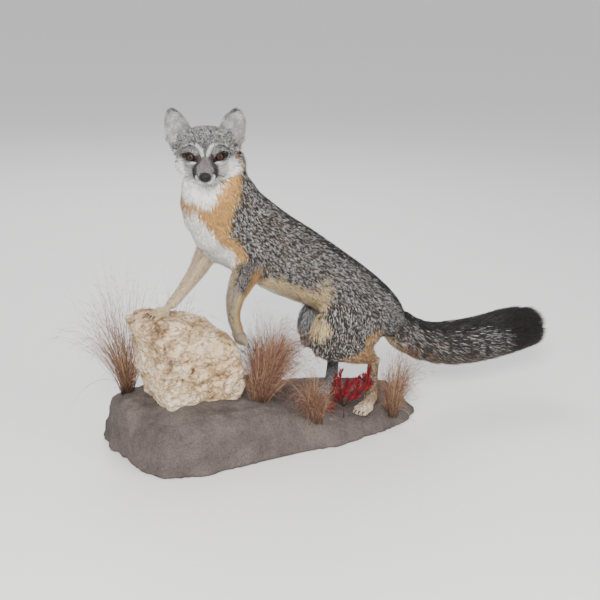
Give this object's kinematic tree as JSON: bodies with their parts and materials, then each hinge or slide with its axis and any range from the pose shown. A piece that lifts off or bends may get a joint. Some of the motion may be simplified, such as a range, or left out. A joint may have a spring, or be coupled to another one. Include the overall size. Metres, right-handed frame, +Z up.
{
  "type": "taxidermy grey fox on a rock base",
  "caption": "Life-size mounted grey fox, forefeet up on a rock and head turned to its left, with its brush held out behind, on an earth base with dry grass and a red sprig.",
  "frame": {"origin": "on the floor at the foot of the earth base, near the middle of its underside", "axes": "+Z up; +X runs along the base from the rock end towards the brush, so the fox faces -X; +Y is the fox's right side, and its left side, the one shown, is at -Y"},
  "size_m": [0.988, 0.374, 0.6353],
  "materials": {
    "coat_grizzled": "short dense hair, salt and pepper grey with white, black and rufous markings",
    "coat_pale": "short hair, cream and rufous on the legs, grey outside the thighs",
    "coat_brush": "long bushy hair, grey sides with a black ridge and a black tip",
    "glass_eye": "dark red-brown glass eye with a high gloss",
    "nose_leather": "black pebbled nose pad, slightly shiny",
    "painted_earth": "hollow foam mound with a gritty dark grey-brown earth coat",
    "tan_stone": "rough, layered tan and ochre limestone look",
    "dry_grass": "fine dried grass, straw and pink-brown",
    "red_foliage": "preserved dyed red foliage"
  },
  "bodies": {
    "root": {"base": "painted_earth", "rock": "tan_stone", "trunk": "coat_grizzled", "neck": "coat_grizzled", "head": "coat_grizzled", "nose": "nose_leather", "eye_left": "glass_eye", "eye_right": "glass_eye", "ear_left": "coat_grizzled", "ear_right": "coat_grizzled", "tail": "coat_brush", "leg_front_left": "coat_pale", "leg_front_right": "coat_pale", "leg_hind_left": "coat_pale", "leg_hind_right": "coat_pale", "grass_left": "dry_grass", "grass_rock_back": "dry_grass", "grass_rock_side": "dry_grass", "grass_middle": "dry_grass", "grass_front": "dry_grass", "grass_right": "dry_grass", "red_sprig": "red_foliage"}
  },
  "joints": []
}
